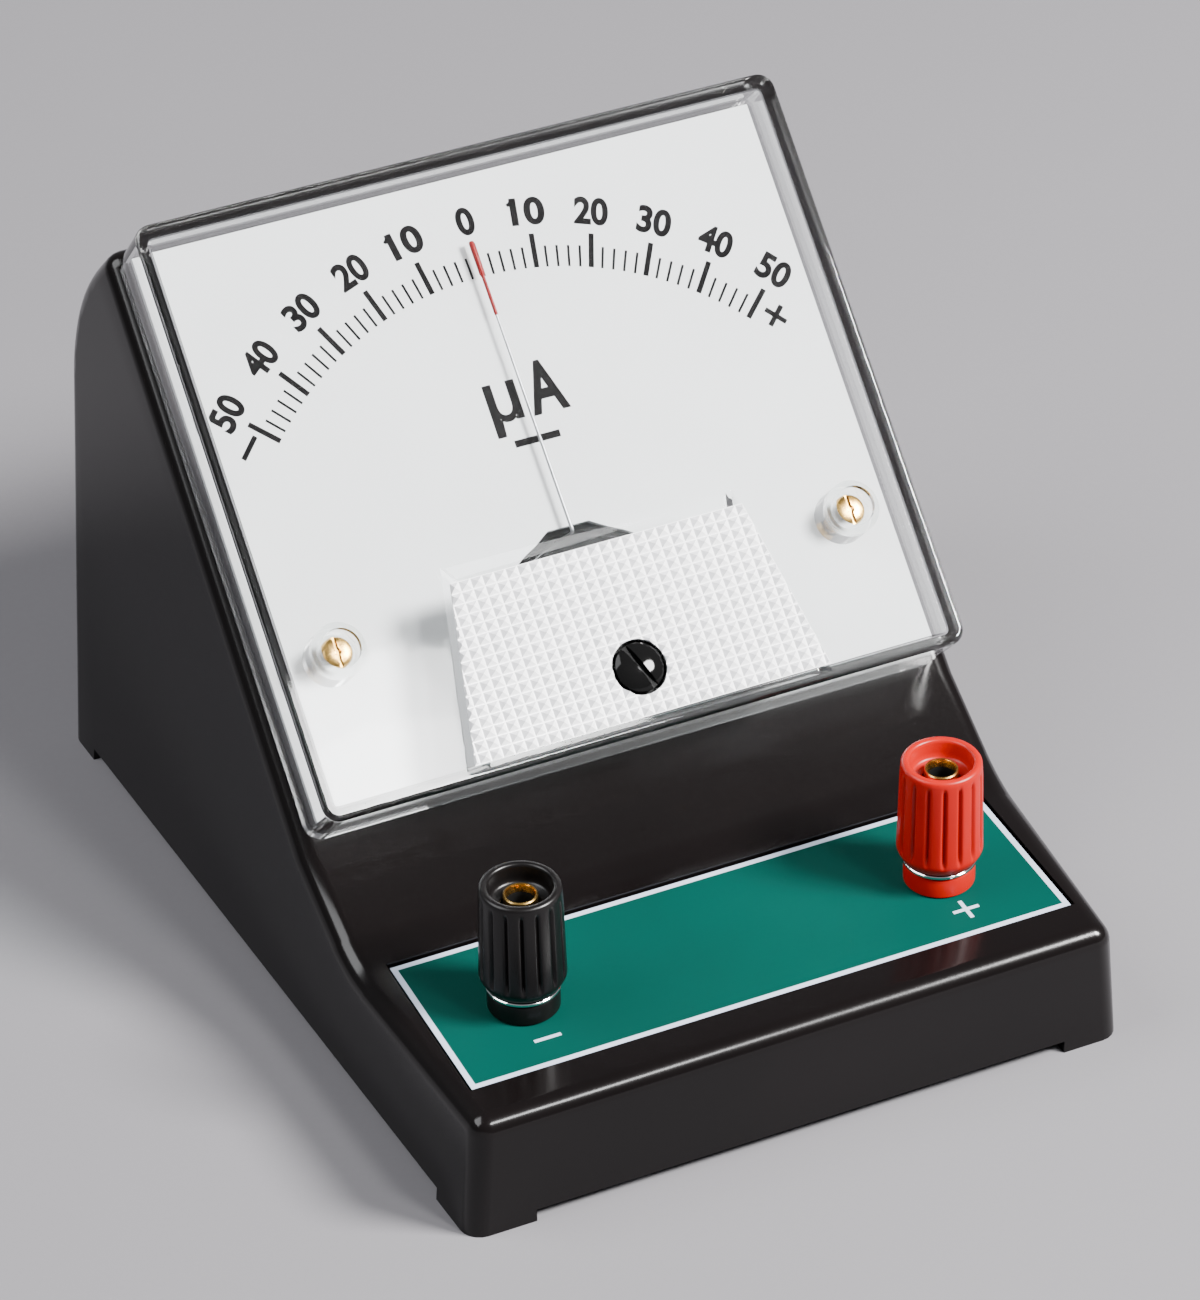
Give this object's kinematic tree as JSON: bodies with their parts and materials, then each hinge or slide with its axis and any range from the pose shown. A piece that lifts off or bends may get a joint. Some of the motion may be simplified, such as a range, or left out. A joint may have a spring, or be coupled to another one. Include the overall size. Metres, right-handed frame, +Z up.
{
  "type": "galvanometer",
  "caption": "Centre-zero bench galvanometer: sloping moulded case, clear cover over a dial with a moving-coil needle, zero adjuster and screw terminals with plug sockets.",
  "frame": {"origin": "on the floor, under the middle of the case", "axes": "+X to the right, +Y to the back, +Z up; the dial faces up and to the front (-Y)"},
  "size_m": [0.117, 0.134, 0.0983],
  "materials": {
    "case_black": "satin moulded",
    "base_black": "matt",
    "zinc_steel": "zinc plated",
    "pole_steel": "machined",
    "magnet_alloy": "cast",
    "clear_cover": "clear polished acrylic",
    "zero_black": "satin",
    "dial_white": "satin white paint, printed scale",
    "label_green": "satin printed",
    "movement_brass": "machined",
    "bright_brass": "polished",
    "former_aluminium": "drawn",
    "coil_copper": "enamelled copper wire",
    "terminal_black": "satin moulded",
    "terminal_red": "satin moulded",
    "washer_chrome": "polished",
    "bush_fibre": "plain",
    "lead_black": "pvc",
    "lead_red": "pvc"
  },
  "bodies": {
    "case": {"base_plate": "base_black", "base_screw_1": "zinc_steel", "base_screw_2": "zinc_steel", "base_screw_3": "zinc_steel", "base_screw_4": "zinc_steel", "black_terminal_bush": "bush_fibre", "black_terminal_collar": "terminal_black", "black_terminal_lug": "zinc_steel", "black_terminal_nut": "movement_brass", "black_terminal_stud": "bright_brass", "bridge_screw_left": "zinc_steel", "bridge_screw_right": "zinc_steel", "case_shell": "case_black", "core_clamp": "movement_brass", "dial_plate": "dial_white", "front_bridge": "movement_brass", "front_window": "clear_cover", "iron_core": "pole_steel", "jewel_screw_front": "zinc_steel", "jewel_screw_rear": "zinc_steel", "label_plate": "label_green", "lead_black": "lead_black", "lead_red": "lead_red", "lock_nut_front": "movement_brass", "lock_nut_rear": "movement_brass", "magnet": "magnet_alloy", "movement_plate": "movement_brass", "movement_screw_1": "zinc_steel", "movement_screw_2": "zinc_steel", "movement_screw_3": "zinc_steel", "movement_screw_4": "zinc_steel", "pointer_stop_left": "movement_brass", "pointer_stop_right": "movement_brass", "pole_piece_left": "pole_steel", "pole_piece_right": "pole_steel", "rear_bridge": "movement_brass", "red_terminal_bush": "bush_fibre", "red_terminal_collar": "terminal_red", "red_terminal_lug": "zinc_steel", "red_terminal_nut": "movement_brass", "red_terminal_stud": "bright_brass", "window_screw_left": "bright_brass", "window_screw_right": "bright_brass"},
    "moving_coil": {"coil_former": "former_aluminium", "coil_winding": "coil_copper", "pivot_front": "pole_steel", "pivot_rear": "pole_steel", "hairspring_rear": "movement_brass", "pointer": "former_aluminium", "balance_weight_left": "movement_brass", "balance_weight_right": "movement_brass"},
    "zero_lever": {"zero_lever": "movement_brass", "hairspring_front": "movement_brass"},
    "zero_screw": {"zero_adjust_screw": "zero_black"},
    "black_clamp": {"black_terminal_washer": "washer_chrome"},
    "black_cap": {"black_terminal_cap": "terminal_black"},
    "red_clamp": {"red_terminal_washer": "washer_chrome"},
    "red_cap": {"red_terminal_cap": "terminal_red"}
  },
  "joints": [
    {"name": "needle_swing", "type": "hinge", "parent": "case", "child": "moving_coil", "pos_m": [0, 0.00044, 0.04658], "axis": [0, -0.6786, 0.7345], "range_deg": [-50, 48], "stiffness_Nm_per_rad": 0.0001},
    {"name": "zero_adjust_turn", "type": "hinge", "parent": "case", "child": "zero_screw", "pos_m": [0, -0.00818, 0.03861], "axis": [0, -0.6786, 0.7345], "range_deg": [-45, 45]},
    {"name": "zero_lever_swing", "type": "hinge", "parent": "case", "child": "zero_lever", "pos_m": [0, 0.00044, 0.04658], "axis": [0, -0.6786, 0.7345], "range_deg": [-7, 7]},
    {"name": "black_clamp_lift", "type": "slide", "parent": "case", "child": "black_clamp", "axis": [0, 0, 1], "range_m": [0, 0.00281]},
    {"name": "black_cap_turn", "type": "hinge", "parent": "black_clamp", "child": "black_cap", "pos_m": [-0.03194, -0.04557, 0.0237], "axis": [0, 0, 1], "range_deg": [0, 1440]},
    {"name": "red_clamp_lift", "type": "slide", "parent": "case", "child": "red_clamp", "axis": [0, 0, 1], "range_m": [0, 0.00281]},
    {"name": "red_cap_turn", "type": "hinge", "parent": "red_clamp", "child": "red_cap", "pos_m": [0.03194, -0.04557, 0.0237], "axis": [0, 0, 1], "range_deg": [0, 1440]}
  ],
  "couplings": [
    {"joint": "zero_lever_swing", "follows": "zero_adjust_turn", "ratio": 0.153},
    {"joint": "black_clamp_lift", "follows": "black_cap_turn", "m_per_rad": 0.00011141},
    {"joint": "red_clamp_lift", "follows": "red_cap_turn", "m_per_rad": 0.00011141}
  ]
}
